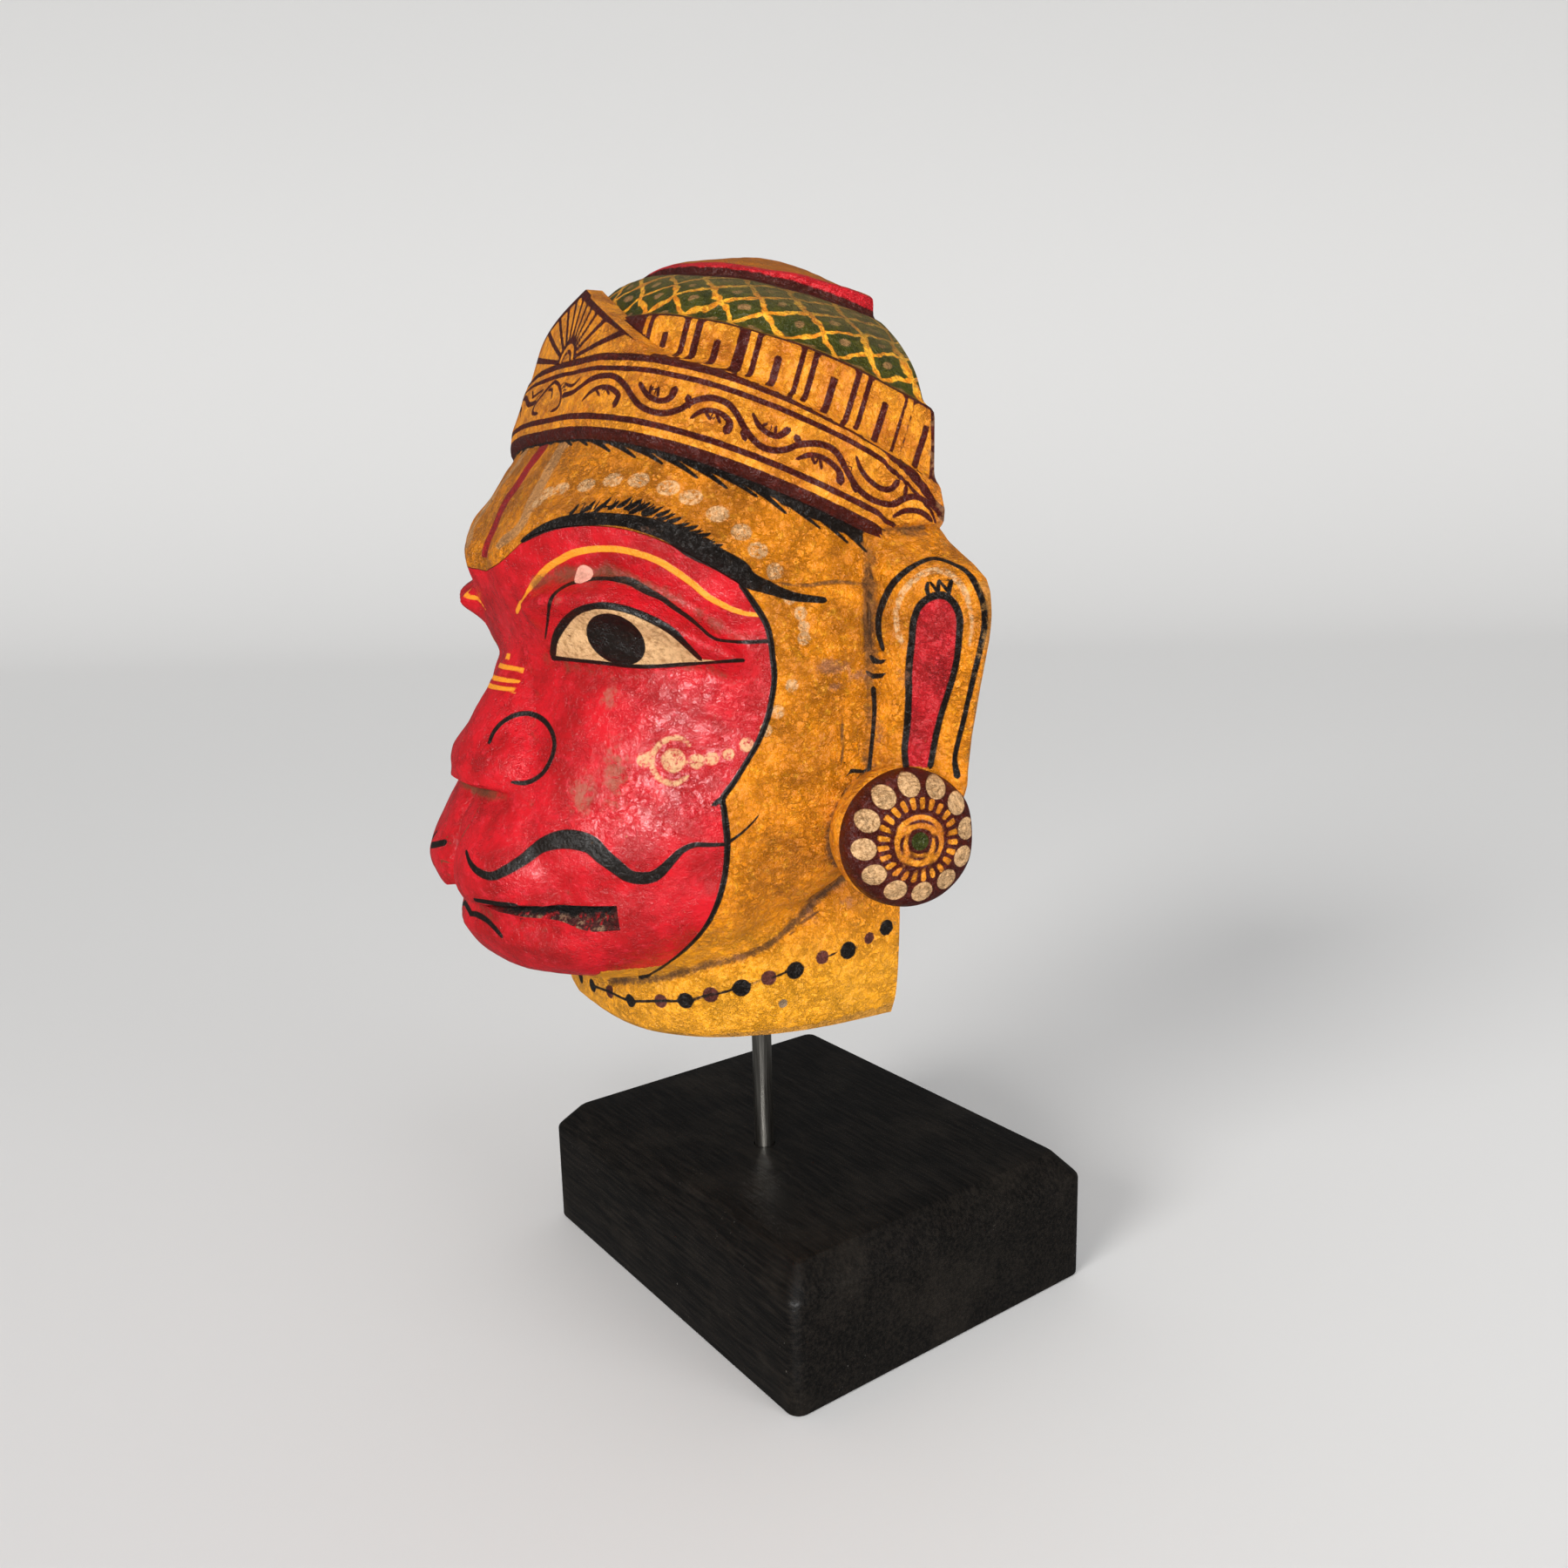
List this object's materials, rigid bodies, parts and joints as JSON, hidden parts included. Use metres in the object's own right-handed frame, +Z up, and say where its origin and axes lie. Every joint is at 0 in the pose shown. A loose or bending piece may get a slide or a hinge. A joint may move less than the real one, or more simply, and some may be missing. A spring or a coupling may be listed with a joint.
{
  "type": "hanuman mask",
  "caption": "Half-round carved and painted wooden mask of a crowned monkey deity, cut flat at the back and held by a steel rod on a chamfered black wooden base.",
  "frame": {"origin": "middle of the base's underside", "axes": "+Z up, -Y towards the side of the base that the face looks over, +X towards the head's own left; the head is turned six degrees clockwise on its rod, seen from above"},
  "size_m": [0.1862, 0.1655, 0.3008],
  "materials": {
    "painted_wood": "hand-painted yellow, red, maroon and black over carved wood, worn and dusty, satin",
    "steel": "polished plain rod with faint marks",
    "black_wood": "black-stained wood, satin, rubbed at the edges"
  },
  "bodies": {
    "root": {"head": "painted_wood", "rod": "steel", "base": "black_wood"}
  },
  "joints": []
}
